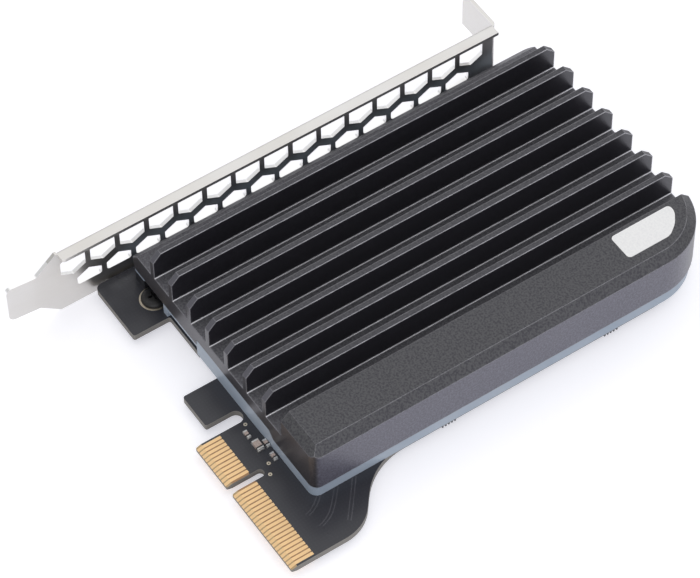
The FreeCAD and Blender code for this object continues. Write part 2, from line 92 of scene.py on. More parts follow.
def mathNode(tree, operation, first, second, clamp=False):
    node = addNode(tree, "ShaderNodeMath", operation=operation, use_clamp=clamp)
    for index, value in enumerate((first, second)):
        if hasattr(value, "links"):
            tree.links.new(value, node.inputs[index])
        elif value is not None:
            node.inputs[index].default_value = value
    return node.outputs["Value"]


def mixColor(tree, factor, first, second):
    node = addNode(tree, "ShaderNodeMix", data_type="RGBA")
    for index, value in ((0, factor), (6, first), (7, second)):
        if hasattr(value, "links"):
            tree.links.new(value, node.inputs[index])
        else:
            node.inputs[index].default_value = value
    return node.outputs[2]


def rangeNode(tree, value, fromLow, fromHigh, toLow, toHigh):
    node = addNode(tree, "ShaderNodeMapRange")
    tree.links.new(value, node.inputs["Value"])
    limits = {"From Min": fromLow, "From Max": fromHigh, "To Min": toLow, "To Max": toHigh}
    for name, amount in limits.items():
        if hasattr(amount, "links"):
            tree.links.new(amount, node.inputs[name])
        else:
            setInput(node, name, amount)
    return node.outputs["Result"]


def objectPoint(tree, scale=(1, 1, 1)):
    place = addNode(tree, "ShaderNodeTexCoord")
    mapping = addNode(tree, "ShaderNodeMapping")
    setInput(mapping, "Scale", scale)
    tree.links.new(place.outputs["Object"], mapping.inputs["Vector"])
    return mapping.outputs["Vector"]


def streakNoise(tree, look):
    node = addNode(tree, "ShaderNodeTexNoise")
    tree.links.new(objectPoint(tree, look["streakStretch"]), node.inputs["Vector"])
    setInput(node, "Scale", look["streakScale"])
    setInput(node, "Detail", 2.0)
    setInput(node, "Roughness", 0.55)
    return node.outputs["Fac"]


def waveBands(tree, point, direction, scale, distortion=0.0):
    node = addNode(tree, "ShaderNodeTexWave", wave_type="BANDS", bands_direction=direction)
    tree.links.new(point, node.inputs["Vector"])
    setInput(node, "Scale", scale)
    setInput(node, "Distortion", distortion)
    return node.outputs["Fac"]


def axesOf(tree, vector):
    node = addNode(tree, "ShaderNodeSeparateXYZ")
    tree.links.new(vector, node.inputs["Vector"])
    return node.outputs


def facingOf(tree):
    return axesOf(tree, addNode(tree, "ShaderNodeNewGeometry").outputs["Normal"])


def isAbove(tree, value, limit):
    return mathNode(tree, "GREATER_THAN", value, limit)


def isBelow(tree, value, limit):
    return mathNode(tree, "LESS_THAN", value, limit)


def rising(tree, value, span):
    return rangeNode(tree, value, *span, 0.0, 1.0)


def falling(tree, value, span):
    return rangeNode(tree, value, *span, 1.0, 0.0)


def opposite(tree, value):
    return mathNode(tree, "SUBTRACT", 1.0, value)


def productOf(tree, first, *others):
    for other in others:
        first = mathNode(tree, "MULTIPLY", first, other)
    return first


def startGroup(name, inputs, outputs):
    group = bpy.data.node_groups.new(name, "ShaderNodeTree")
    for label, value in inputs:
        kind = "NodeSocketVector" if isinstance(value, tuple) else "NodeSocketFloat"
        socket = group.interface.new_socket(name=label, in_out="INPUT", socket_type=kind)
        socket.default_value = value
    for label, kind in outputs:
        group.interface.new_socket(name=label, in_out="OUTPUT", socket_type=kind)
    return group, group.nodes.new("NodeGroupInput"), group.nodes.new("NodeGroupOutput")


def placedNoise(tree, scale, kind="ShaderNodeTexNoise"):
    node = addNode(tree, kind)
    tree.links.new(addNode(tree, "ShaderNodeTexCoord").outputs["Object"], node.inputs["Vector"])
    tree.links.new(scale, node.inputs["Scale"])
    return node


# an edge mask that lightens edges: partly worn edges, partly a painted highlight, broken into patches
def buildEdgeWearAndHighlight():
    look = {"samples": 6, "sharpness": 9.0, "patches": (0.3, 0.6, 0.55, 1.0)}
    group, source, result = startGroup(
        "edgeWearAndHighlight", [("Radius", 0.0002), ("Amount", 1.0), ("Breakup", 400.0)],
        [("Mask", "NodeSocketFloat"), ("Rounded", "NodeSocketVector")])
    bevel = addNode(group, "ShaderNodeBevel", samples=look["samples"])
    group.links.new(source.outputs["Radius"], bevel.inputs["Radius"])
    dot = addNode(group, "ShaderNodeVectorMath", operation="DOT_PRODUCT")
    group.links.new(bevel.outputs["Normal"], dot.inputs[0])
    group.links.new(addNode(group, "ShaderNodeNewGeometry").outputs["Normal"], dot.inputs[1])
    wide = mathNode(group, "MULTIPLY", opposite(group, dot.outputs["Value"]), look["sharpness"], clamp=True)
    noise = placedNoise(group, source.outputs["Breakup"])
    patchy = productOf(group, wide, rangeNode(group, noise.outputs["Fac"], *look["patches"]))
    mask = mathNode(group, "MULTIPLY", patchy, source.outputs["Amount"], clamp=True)
    group.links.new(mask, result.inputs["Mask"])
    group.links.new(bevel.outputs["Normal"], result.inputs["Rounded"])
    return group


def buildGrain():
    look = {"detail": 2.0, "speckle": (0.38, 0.66, 0.0, 1.0), "cellShare": 0.5}
    group, source, result = startGroup(
        "blastGrain", [("Scale", 2600.0), ("Contrast", 1.0)],
        [("Speckle", "NodeSocketFloat"), ("Height", "NodeSocketFloat")])
    noise = placedNoise(group, source.outputs["Scale"])
    setInput(noise, "Detail", look["detail"])
    cells = placedNoise(group, source.outputs["Scale"], "ShaderNodeTexVoronoi")
    speckle = rangeNode(group, noise.outputs["Fac"], *look["speckle"])
    strong = mathNode(group, "MULTIPLY", speckle, source.outputs["Contrast"], clamp=True)
    pits = productOf(group, cells.outputs["Distance"], look["cellShare"])
    group.links.new(strong, result.inputs["Speckle"])
    group.links.new(mathNode(group, "ADD", pits, noise.outputs["Fac"]), result.inputs["Height"])
    return group


def buildHaze():
    look = {"detail": 4.0, "spread": (0.3, 0.7)}
    group, source, result = startGroup(
        "handlingHaze", [("Scale", 45.0), ("Low", 0.0), ("High", 1.0)], [("Value", "NodeSocketFloat")])
    noise = placedNoise(group, source.outputs["Scale"])
    setInput(noise, "Detail", look["detail"])
    limits = (*look["spread"], source.outputs["Low"], source.outputs["High"])
    group.links.new(rangeNode(group, noise.outputs["Fac"], *limits), result.inputs["Value"])
    return group


edgeWearAndHighlight = buildEdgeWearAndHighlight()
blastGrain = buildGrain()
handlingHaze = buildHaze()
print("stage: shader groups")


def useGroup(tree, group, **values):
    node = addNode(tree, "ShaderNodeGroup", node_tree=group)
    for name, value in values.items():
        setInput(node, name, value)
    return node


def wearAndHighlightOf(tree, look):
    radius, amount, breakup = look["wearAndHighlight"]
    return useGroup(tree, edgeWearAndHighlight, Radius=radius, Amount=amount, Breakup=breakup)


def grainOf(tree, look, key="grain"):
    scale, contrast = look[key]
    return useGroup(tree, blastGrain, Scale=scale, Contrast=contrast).outputs


def hazeOf(tree, look, low=0.0, high=1.0):
    return useGroup(tree, handlingHaze, Scale=look["hazeScale"], Low=low, High=high).outputs["Value"]


def addBump(tree, shader, height, strength, distance, rounded=None):
    bump = addNode(tree, "ShaderNodeBump")
    if rounded:
        tree.links.new(rounded, bump.inputs["Normal"])
    setInput(bump, "Strength", strength)
    setInput(bump, "Distance", distance)
    tree.links.new(height, bump.inputs["Height"])
    tree.links.new(bump.outputs["Normal"], shader.inputs["Normal"])


def linkColor(tree, shader, color):
    tree.links.new(color, shader.inputs["Base Color"])


def linkRoughness(tree, shader, roughness):
    tree.links.new(roughness, shader.inputs["Roughness"])


def streakyMetal(tree, shader, streaks, look):
    linkRoughness(tree, shader, rangeNode(tree, streaks, *look["streakSpan"], *look["rough"]))
    setInput(shader, "Metallic", 1.0)
    addBump(tree, shader, streaks, *look["bump"])


def anodisedBlack():
    look = {"dark": (0.006, 0.005, 0.008, 1), "light": (0.020, 0.020, 0.025, 1),
            "matt": (0.014, 0.014, 0.016, 1), "mattLight": (0.050, 0.050, 0.053, 1), "mattRough": 0.16,
            "gap": (0.070, 0.069, 0.078, 1), "gapLight": (0.15, 0.15, 0.162, 1), "gapTop": 9.2 * mm,
            "blockStart": 11.4 * mm, "blockGrey": (0.060, 0.061, 0.060, 1),
            "wall": (0.070, 0.069, 0.092, 1), "wallLight": (0.130, 0.128, 0.165, 1),
            "foot": (0.028, 0.026, 0.030, 1), "footLight": (0.052, 0.048, 0.053, 1),
            "finEnd": (0.078, 0.077, 0.090, 1), "root": (0.95, 0.95, 1.0, 1), "edge": (0.78, 0.78, 0.84, 1),
            "faintEdge": 0.35, "blockEdge": 0.5, "wearAndHighlight": (0.00032, 0.9, 500.0),
            "grain": (2600.0, 0.9), "coarse": (2300.0, 1.0), "hazeScale": 38.0, "rough": (0.30, 0.38),
            "bump": (0.16, 0.00003), "specular": 0.8, "sheen": (0.90, 0.89, 1.0, 1),
            # turns: how far a face's normal leans along an axis
            "topTurn": 0.7, "wallTurn": (0.72, 0.95), "footTurnY": (-0.9, -0.4), "footTurnZ": (0.05, 0.2),
            "endTurnY": (-0.5, -0.3), "endTurnZ": (0.2, 0.3), "rootTurnX": 0.1, "rootTurnLow": 0.12,
            "rootTurnHigh": 0.985, "edgeTurnX": (-0.35, 0.25), "edgeTurnY": (-0.50, -0.15)}
    material, tree, shader = startMaterial("anodisedBlack")
    grain, wearAndHighlight = grainOf(tree, look), wearAndHighlightOf(tree, look)
    speckle = grainOf(tree, look, "coarse")["Speckle"]
    place, facing = axesOf(tree, objectPoint(tree)), facingOf(tree)
    rounded = axesOf(tree, wearAndHighlight.outputs["Rounded"])

    isTop = isAbove(tree, facing["Z"], look["topTurn"])  # tops and gap floors: a rougher cutter finish, and a paler colour painted as light from above
    onBlock = isAbove(tree, place["X"], look["blockStart"])
    inGap = isBelow(tree, place["Z"], look["gapTop"])
    outward = mathNode(tree, "MAXIMUM", facing["X"], facing["Y"])
    isWall = productOf(tree, rising(tree, outward, look["wallTurn"]), onBlock)
    isFoot = productOf(tree, falling(tree, facing["Y"], look["footTurnY"]),
                       falling(tree, facing["Z"], look["footTurnZ"]))  # walls towards the contacts, painted paler as painted light
    isFinEnd = productOf(tree, rising(tree, facing["Z"], look["endTurnZ"]),
                         falling(tree, facing["Y"], look["endTurnY"]), opposite(tree, onBlock))
    isRoot = productOf(tree, isAbove(tree, facing["Z"], look["rootTurnLow"]),
                       isBelow(tree, facing["Z"], look["rootTurnHigh"]), inGap,
                       isAbove(tree, facing["X"], look["rootTurnX"]))  # painted highlight: the bright line at the fin roots
    # painted highlight along the edges: brighter on edges facing +X, fainter on edges facing -X or -Y and
    # on the block
    paintedEdgeHighlight = productOf(tree, wearAndHighlight.outputs["Mask"],
                     rangeNode(tree, rounded["X"], *look["edgeTurnX"], look["faintEdge"], 1.0),
                     rangeNode(tree, rounded["Y"], *look["edgeTurnY"], look["faintEdge"], 1.0),
                     rangeNode(tree, onBlock, 0.0, 1.0, 1.0, look["blockEdge"]))

    # painted light from above: the tops paler than the sides
    top = mixColor(tree, speckle, look["matt"], look["mattLight"])
    # painted light: the gap floors between the fins paler than the tops
    top = mixColor(tree, inGap, top, mixColor(tree, speckle, look["gap"], look["gapLight"]))
    base = mixColor(tree, isTop, mixColor(tree, grain["Speckle"], look["dark"], look["light"]), top)
    base = mixColor(tree, productOf(tree, speckle, onBlock), base, look["blockGrey"])
    # painted reflection: the block's walls facing +X or +Y paler and lilac
    base = mixColor(tree, isWall, base, mixColor(tree, speckle, look["wall"], look["wallLight"]))
    # painted light: the walls towards the contacts paler than the other sides
    base = mixColor(tree, isFoot, base, mixColor(tree, speckle, look["foot"], look["footLight"]))
    # painted sheen: the chamfered fin ends paler and lilac
    base = mixColor(tree, isFinEnd, base, look["finEnd"])
    base = mixColor(tree, paintedEdgeHighlight, base, look["edge"])
    linkColor(tree, shader, mixColor(tree, isRoot, base, look["root"]))
    matt = productOf(tree, isTop, look["mattRough"])
    linkRoughness(tree, shader, mathNode(tree, "ADD", matt, hazeOf(tree, look, *look["rough"])))
    addBump(tree, shader, grain["Height"], *look["bump"], wearAndHighlight.outputs["Rounded"])
    setInput(shader, "Specular IOR Level", look["specular"])
    setInput(shader, "Specular Tint", look["sheen"])
    return material


def solderMask():
    look = {"dark": (0.036, 0.037, 0.046, 1), "weave": (0.042, 0.043, 0.052, 1),
            "weaveScale": 420.0, "weaveDistortion": 0.6, "side": (0.30, 0.285, 0.27, 1),
            "layer": (0.20, 0.19, 0.18, 1), "layerScale": 620.0, "bare": (0.50, 0.36, 0.20, 1),
            "laminate": (0.40, 0.22, 0.10, 1), "margin": 0.15 * mm, "slopeUpright": 0.15,
            "faceUpright": 0.97, "hazeScale": 60.0, "rough": (0.26, 0.34), "sideRough": 0.4,
            "bump": (0.03, 0.00001)}
    material, tree, shader = startMaterial("solderMask")
    point = objectPoint(tree)
    weave = productOf(tree, waveBands(tree, point, "X", look["weaveScale"], look["weaveDistortion"]),
                      waveBands(tree, point, "Y", look["weaveScale"], look["weaveDistortion"]))
    layers = waveBands(tree, point, "Z", look["layerScale"])
    place = axesOf(tree, point)
    upright = mathNode(tree, "ABSOLUTE", facingOf(tree)["Z"], None)
    isSlope = isAbove(tree, upright, look["slopeUpright"])  # along the contact tips
    isFace = isAbove(tree, upright, look["faceUpright"])
    low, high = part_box("contacts_front")
    isUnmasked = productOf(tree, isBelow(tree, place["Y"], high[1] - look["margin"]),
                           isBelow(tree, place["X"], high[0]), isAbove(tree, place["X"], low[0]))

    face = mixColor(tree, weave, look["dark"], look["weave"])
    face = mixColor(tree, isUnmasked, face, look["laminate"])  # bare laminate between the contacts
    edge = mixColor(tree, layers, look["layer"], look["side"])
    edge = mixColor(tree, isSlope, edge, look["bare"])
    linkColor(tree, shader, mixColor(tree, isFace, edge, face))
    rough = productOf(tree, opposite(tree, isFace), look["sideRough"])
    linkRoughness(tree, shader, mathNode(tree, "ADD", rough, hazeOf(tree, look, *look["rough"])))
    addBump(tree, shader, weave, *look["bump"])
    return material


def platedSteel():
    look = {"bright": (0.73, 0.72, 0.71, 1), "warm": (0.67, 0.65, 0.62, 1), "edge": (0.95, 0.95, 0.95, 1),
            "cut": (0.97, 0.97, 0.97, 1), "flange": 1.6 * mm, "plate": 2.0 * mm, "tab": 2.2 * mm,
            "cutTurn": 0.5, "hazeScale": 55.0, "wearAndHighlight": (0.00012, 0.8, 300.0),
            "streakScale": 2600.0, "streakStretch": (1, 0.03, 1), "streakSpan": (0.3, 0.7),
            "rough": (0.29, 0.37), "bump": (0.10, 0.00001)}
    material, tree, shader = startMaterial("platedSteel")
    place, facing = axesOf(tree, objectPoint(tree)), facingOf(tree)
    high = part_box("slot_bracket")[1]
    isCut = productOf(tree, isBelow(tree, mathNode(tree, "ABSOLUTE", facing["X"], None), look["cutTurn"]),
                      isBelow(tree, place["Z"], high[2] - look["flange"]),
                      isAbove(tree, place["Z"], look["plate"]),
                      isBelow(tree, place["Y"], high[1] - look["tab"]))  # punched walls of the grille
    base = mixColor(tree, hazeOf(tree, look), look["bright"], look["warm"])
    base = mixColor(tree, wearAndHighlightOf(tree, look).outputs["Mask"], base, look["edge"])
    linkColor(tree, shader, mixColor(tree, isCut, base, look["cut"]))
    streakyMetal(tree, shader, streakNoise(tree, look), look)
    return material


def contactGold():
    look = {"bright": (0.93, 0.67, 0.38, 1), "deep": (0.82, 0.54, 0.27, 1), "edge": (0.98, 0.86, 0.62, 1),
            "streakScale": 1800.0, "streakStretch": (1, 0.08, 1), "streakSpan": (0.3, 0.7),
            "wearAndHighlight": (0.00005, 0.5, 900.0), "rough": (0.32, 0.44), "bump": (0.08, 0.00001)}
    material, tree, shader = startMaterial("contactGold")
    streaks = streakNoise(tree, look)
    base = mixColor(tree, streaks, look["deep"], look["bright"])
    linkColor(tree, shader, mixColor(tree, wearAndHighlightOf(tree, look).outputs["Mask"], base, look["edge"]))
    streakyMetal(tree, shader, streaks, look)
    return material


def blackSteel():
    look = {"dark": (0.008, 0.008, 0.009, 1), "light": (0.020, 0.019, 0.020, 1),
            "edge": (0.07, 0.068, 0.066, 1), "grain": (3000.0, 0.8), "wearAndHighlight": (0.00008, 0.6, 800.0),
            "hazeScale": 150.0, "rough": (0.32, 0.45), "bump": (0.1, 0.00002)}
    material, tree, shader = startMaterial("blackSteel")
    grain = grainOf(tree, look)
    base = mixColor(tree, grain["Speckle"], look["dark"], look["light"])
    linkColor(tree, shader, mixColor(tree, wearAndHighlightOf(tree, look).outputs["Mask"], base, look["edge"]))
    linkRoughness(tree, shader, hazeOf(tree, look, *look["rough"]))
    addBump(tree, shader, grain["Height"], *look["bump"])
    return material


def framePlastic():
    look = {"cool": (0.34, 0.41, 0.51, 1), "pale": (0.42, 0.48, 0.57, 1), "edge": (0.55, 0.60, 0.67, 1),
            "shade": (0.020, 0.021, 0.026, 1), "shadeEnd": 5.5 * mm, "shadeDepth": 1.2 * mm,
            "lipFoot": 2.5 * mm, "grain": (3200.0, 0.5), "wearAndHighlight": (0.00012, 0.6, 200.0), "hazeScale": 70.0,
            "rough": (0.36, 0.48), "bump": (0.12, 0.00002)}
    material, tree, shader = startMaterial("framePlastic")
    grain, place = grainOf(tree, look), axesOf(tree, objectPoint(tree))
    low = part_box("spacer_frame")[0]
    isShaded = productOf(tree, isBelow(tree, place["Z"], look["lipFoot"]),
                         isBelow(tree, place["X"], low[0] + look["shadeEnd"]),
                         isBelow(tree, place["Y"], low[1] + look["shadeDepth"]))  # under the lip's end
    base = mixColor(tree, hazeOf(tree, look), look["cool"], look["pale"])
    base = mixColor(tree, wearAndHighlightOf(tree, look).outputs["Mask"], base, look["edge"])
    linkColor(tree, shader, mixColor(tree, isShaded, base, look["shade"]))
    linkRoughness(tree, shader, rangeNode(tree, grain["Speckle"], 0.0, 1.0, *look["rough"]))
    addBump(tree, shader, grain["Height"], *look["bump"])
    return material


def grainyFinish(name, look):
    material, tree, shader = startMaterial(name)
    grain = grainOf(tree, look)
    linkColor(tree, shader, mixColor(tree, grain["Speckle"], look["base"], look["tone"]))
    if "hazeScale" in look:
        linkRoughness(tree, shader, hazeOf(tree, look, *look["rough"]))
    else:
        linkRoughness(tree, shader, rangeNode(tree, grain["Speckle"], 0.0, 1.0, *look["rough"]))
    addBump(tree, shader, grain["Height"], *look["bump"])
    return material


def padRubber():
    return grainyFinish("padRubber", {
        "base": (0.30, 0.34, 0.40, 1), "tone": (0.38, 0.42, 0.47, 1), "grain": (900.0, 1.0),
        "hazeScale": 80.0, "rough": (0.7, 0.85), "bump": (0.2, 0.00005)})


def socketPlastic():
    return grainyFinish("socketPlastic", {
        "base": (0.014, 0.014, 0.015, 1), "tone": (0.030, 0.030, 0.031, 1), "grain": (2500.0, 0.8),
        "hazeScale": 120.0, "rough": (0.45, 0.6), "bump": (0.15, 0.00002)})


def hazyFinish(name, look):
    material, tree, shader = startMaterial(name)
    haze = hazeOf(tree, look)
    linkColor(tree, shader, mixColor(tree, haze, look["base"], look["tone"]))
    linkRoughness(tree, shader, rangeNode(tree, haze, 0.0, 1.0, *look["rough"]))
    setInput(shader, "Metallic", look["metallic"])
    if "bump" in look:
        addBump(tree, shader, haze, *look["bump"])
    return material


def brightTin():
    return hazyFinish("brightTin", {
        "base": (0.90, 0.89, 0.87, 1), "tone": (0.74, 0.73, 0.71, 1), "hazeScale": 1400.0,
        "rough": (0.30, 0.45), "metallic": 1.0, "bump": (0.15, 0.00003)})


def plainBrass():
    return hazyFinish("plainBrass", {
        "base": (0.68, 0.50, 0.24, 1), "tone": (0.50, 0.36, 0.17, 1), "hazeScale": 600.0,
        "rough": (0.25, 0.38), "metallic": 1.0})


def zincSteel():
    return hazyFinish("zincSteel", {
        "base": (0.62, 0.62, 0.62, 1), "tone": (0.47, 0.47, 0.46, 1), "hazeScale": 700.0,
        "rough": (0.28, 0.4), "metallic": 1.0})


def chipCeramic():
    return grainyFinish("chipCeramic", {
        "base": (0.48, 0.38, 0.34, 1), "tone": (0.62, 0.51, 0.46, 1), "grain": (4000.0, 1.0),
        "rough": (0.3, 0.45), "bump": (0.1, 0.00001)})


def paleTinned():
    return hazyFinish("paleTinned", {
        "base": (0.86, 0.78, 0.64, 1), "tone": (0.70, 0.62, 0.49, 1), "hazeScale": 900.0,
        "rough": (0.34, 0.5), "metallic": 1.0, "bump": (0.1, 0.00002)})


def labelWhite():
    return grainyFinish("labelWhite", {
        "base": (0.91, 0.91, 0.91, 1), "tone": (0.85, 0.85, 0.86, 1), "grain": (2300.0, 1.0),
        "rough": (0.45, 0.6), "bump": (0.08, 0.00001)})


def traceMask():
    return hazyFinish("traceMask", {
        "base": (0.066, 0.067, 0.078, 1), "tone": (0.085, 0.085, 0.098, 1), "hazeScale": 300.0,
        "rough": (0.2, 0.3), "metallic": 0.0})


finishes = {
    "solder_mask": solderMask(), "contact_gold": contactGold(), "plated_steel": platedSteel(),
    "black_steel": blackSteel(), "black_anodised": anodisedBlack(), "frame_plastic": framePlastic(),
    "pad_rubber": padRubber(), "socket_plastic": socketPlastic(), "tin": brightTin(),
    "standoff_brass": plainBrass(), "screw_steel": zincSteel(), "capacitor_ceramic": chipCeramic(),
}
ownFinishes = dict.fromkeys(("screw_rings", "via_caps"), paleTinned())  # paler than their slot's finish
labelFinish = labelWhite()
traceFinish = traceMask()

for entry in frame["record"]["subparts"]:
    finish = ownFinishes.get(entry["node"], finishes[entry["material_slot"]])
    for materialSlot in frame["nodes"][entry["node"]].material_slots:
        materialSlot.material = finish
print("stage: finishes on the frame")


def meshObject(name, mesh):
    data = bpy.data.meshes.new(name)
    mesh.to_mesh(data)
    mesh.free()
    made = bpy.data.objects.new(name, data)
    bpy.context.scene.collection.objects.link(made)
    return made


def closePiece(name, mesh, finish, sharpAngle=None):
    bmesh.ops.remove_doubles(mesh, verts=mesh.verts, dist=mergeDistance)
    bmesh.ops.recalc_face_normals(mesh, faces=mesh.faces)
    piece = meshObject(name, mesh)
    piece.data.materials.append(finish)
    if sharpAngle:
        for face in piece.data.polygons:
            face.use_smooth = True
        piece.data.set_sharp_from_angle(angle=math.radians(sharpAngle))
    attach(piece, "root")
    return piece


def grownVerts(grown):
    return [item for item in grown["geom"] if isinstance(item, bmesh.types.BMVert)]


def thicken(mesh, faces, thickness):
    verts = grownVerts(bmesh.ops.extrude_face_region(mesh, geom=list(faces)))
    bmesh.ops.translate(mesh, verts=verts, vec=(0, 0, thickness))


def ringEdges(mesh, verts):
    return [edge for edge in mesh.edges if edge.verts[0] in verts and edge.verts[1] in verts]


def growRing(mesh, loop, centre, radius, height):
    verts = grownVerts(bmesh.ops.extrude_edge_only(mesh, edges=loop))
    for vert in verts:
        flat = (vert.co.to_2d() - centre).normalized() * radius
        vert.co = (centre.x + flat.x, centre.y + flat.y, height)
    return ringEdges(mesh, set(verts)), verts


def crossSlot(mesh, look, centre, loop, top):
    reach, half = look["slotReach"], look["slotHalf"]
    cross = [(reach, half), (half, half), (half, reach), (-half, reach), (-half, half), (-reach, half)]
    cross += [(-x, -y) for x, y in cross]  # the second half is the first turned round
    verts = bmesh.ops.create_circle(mesh, segments=len(cross), radius=reach)["verts"]
    verts.sort(key=lambda vert: math.atan2(vert.co.y, vert.co.x) % (2 * math.pi))
    for vert, corner in zip(verts, cross):
        vert.co = (centre.x + corner[0], centre.y + corner[1], top)
    mouth = ringEdges(mesh, set(verts))
    bmesh.ops.bridge_loops(mesh, edges=loop + mouth)
    sunk = grownVerts(bmesh.ops.extrude_edge_only(mesh, edges=mouth))
    for vert in sunk:
        flat = (vert.co.to_2d() - centre) * look["slotTaper"]
        vert.co = (centre.x + flat.x, centre.y + flat.y, top - look["slotDepth"])
    bmesh.ops.contextual_create(mesh, geom=sunk)


def threadedShank(mesh, look, centre, loop, seat, end):
    loop, verts = growRing(mesh, loop, centre, look["shank"], seat)
    steps = 2 * look["threads"]
    for turn in range(steps):
        radius = look["shank"] - (look["threadDepth"] if turn % 2 == 0 else 0.0)
        loop, verts = growRing(mesh, loop, centre, radius, seat - (turn + 1) * (seat - end) / steps)
    bmesh.ops.contextual_create(mesh, geom=verts)


# the bracket's two screws: a domed head with a cross slot, and a threaded shank
def roundHeadScrews():
    look = {"sides": 48, "crown": ((0.30, 1.0), (0.55, 0.965), (0.78, 0.88), (0.92, 0.75), (0.985, 0.60)),
            "slotReach": 1.20 * mm, "slotHalf": 0.26 * mm, "slotDepth": 0.80 * mm, "slotTaper": 0.72,
            "shank": 1.45 * mm, "threadDepth": 0.12 * mm, "threads": 9, "sharpAngle": 32}
    low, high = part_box("bracket_screws")
    headRadius, centreX = (high[0] - low[0]) / 2, (high[0] + low[0]) / 2
    seat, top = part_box("screw_rings")[1][2], high[2]
    mesh = bmesh.new()
    for centreY in (low[1] + headRadius, high[1] - headRadius):
        centre = Vector((centreX, centreY))
        ring = bmesh.ops.create_circle(mesh, segments=look["sides"], radius=headRadius)["verts"]
        bmesh.ops.translate(mesh, verts=ring, vec=(centreX, centreY, seat))
        foot = loop = ringEdges(mesh, set(ring))
        for climb, scale in look["crown"]:
            loop = growRing(mesh, loop, centre, headRadius * scale, seat + (top - seat) * climb)[0]
        crossSlot(mesh, look, centre, loop, top)
        threadedShank(mesh, look, centre, foot, seat, low[2])
    piece = closePiece("roundHeadScrews", mesh, finishes["black_steel"], look["sharpAngle"])
    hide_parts("bracket_screws")


# the pale field on the heatsink's block, one corner cut back
def labelField():
    look = {"fromSide": 4.3 * mm, "fromEnd": 6.05 * mm, "length": 15.0 * mm, "width": 6.5 * mm,
            "cut": 4.5 * mm, "cutBulge": 0.42, "corner": 0.9 * mm, "cornerSteps": 6, "thick": 0.03 * mm}
    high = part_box("heatsink")[1]
    right, top = high[0] - look["fromSide"], high[1] - look["fromEnd"]
    left, bottom = right - look["width"], top - look["length"]
    cut, bulge = look["cut"], look["cut"] * look["cutBulge"]
    mesh = bmesh.new()
    corners = [(left, bottom), (right, bottom), (right, top - cut), (right - bulge, top - bulge),
               (right - cut, top), (left, top)]
    verts = [mesh.verts.new((x, y, high[2])) for x, y in corners]
    mesh.faces.new(verts)
    bmesh.ops.bevel(mesh, geom=verts, affect="VERTICES", offset=look["corner"],
                    segments=look["cornerSteps"], profile=0.5, material=-1)
    thicken(mesh, mesh.faces, look["thick"])
    closePiece("labelField", mesh, labelFinish)


# the box of each separate solid in a node, as a low and high value per axis
def solidBoxes(node):
    source = bmesh.new()
    source.from_mesh(frame["nodes"][node].data)
    bmesh.ops.remove_doubles(source, verts=source.verts, dist=mergeDistance)
    left, boxes = set(source.verts), []
    while left:
        island, front = [], [left.pop()]
        while front:
            vert = front.pop()
            island.append(vert.co.copy())
            near = {edge.other_vert(vert) for edge in vert.link_edges} & left
            left -= near
            front.extend(near)
        boxes.append([(min(point[axis] for point in island), max(point[axis] for point in island))
                      for axis in range(3)])
    source.free()
    return sorted(boxes)


def addBlock(mesh, spanX, spanY, spanZ, inset, offset):
    made = bmesh.ops.create_cube(mesh, size=1.0)["verts"]
    for vert in made:
        taper = inset if vert.co.z > 0 else 0.0
        vert.co = (spanX[1] - taper if vert.co.x > 0 else spanX[0] + taper,
                   spanY[1] - taper if vert.co.y > 0 else spanY[0] + taper,
                   spanZ[1] if vert.co.z > 0 else spanZ[0])
    edges = list({edge for vert in made for edge in vert.link_edges})
    bmesh.ops.bevel(mesh, geom=edges, affect="EDGES", offset=offset, segments=2, profile=0.5, material=-1)


def widened(span, amount):
    return span[0] - amount, span[1] + amount


# solder that climbs the ends of the capacitors
def solderFillets():
    look = {"endReach": 0.18 * mm, "sideReach": 0.09 * mm, "inset": 0.081 * mm, "climb": 0.6,
            "round": 0.05 * mm, "sharpAngle": 50}
    mesh = bmesh.new()
    for node in capacitorTerminals:
        for spanX, spanY, spanZ in solidBoxes(node):
            addBlock(mesh, widened(spanX, look["endReach"]), widened(spanY, look["sideReach"]),
                     (0.0, spanZ[1] * look["climb"]), look["inset"], look["round"])
    closePiece("solderFillets", mesh, finishes["tin"], look["sharpAngle"])


# painted shadow: a dark band beside a capacitor's terminal
def chipShadowBands():
    look = {"width": 0.30 * mm, "proud": 0.02 * mm, "round": 0.02 * mm, "longest": 3.0 * mm,
            "sameRow": 0.1 * mm, "sharpAngle": 50}
    mesh = bmesh.new()
    for node in capacitorTerminals:
        boxes = solidBoxes(node)
        for spanX, spanY, spanZ in boxes:
            hasPartner = any(abs(other[1][0] - spanY[0]) < look["sameRow"]
                             and 0 < spanX[0] - other[0][1] < look["longest"] for other in boxes)
            if hasPartner:  # the band stands beside the terminal nearer the card's free end
                addBlock(mesh, (spanX[0] - look["width"], spanX[0]), widened(spanY, look["proud"]),
                         (0.0, spanZ[1] + look["proud"]), 0.0, look["round"])
    closePiece("chipShadowBands", mesh, finishes["socket_plastic"], look["sharpAngle"])


# the dark middle of each via cap
def viaEyes():
    look = {"share": 0.36, "sides": 16, "proud": 0.012 * mm, "sharpAngle": 40}
    mesh = bmesh.new()
    for spanX, spanY, spanZ in solidBoxes("via_caps"):
        if spanZ[1] > 0:  # only the caps on the component side
            eye = bmesh.ops.create_circle(mesh, segments=look["sides"], cap_ends=True,
                                          radius=(spanX[1] - spanX[0]) / 2 * look["share"])["verts"]
            bmesh.ops.translate(mesh, verts=eye, vec=(sum(spanX) / 2, sum(spanY) / 2, spanZ[1]))
            thicken(mesh, {face for vert in eye for face in vert.link_faces}, look["proud"])
    closePiece("viaEyes", mesh, finishes["socket_plastic"], look["sharpAngle"])


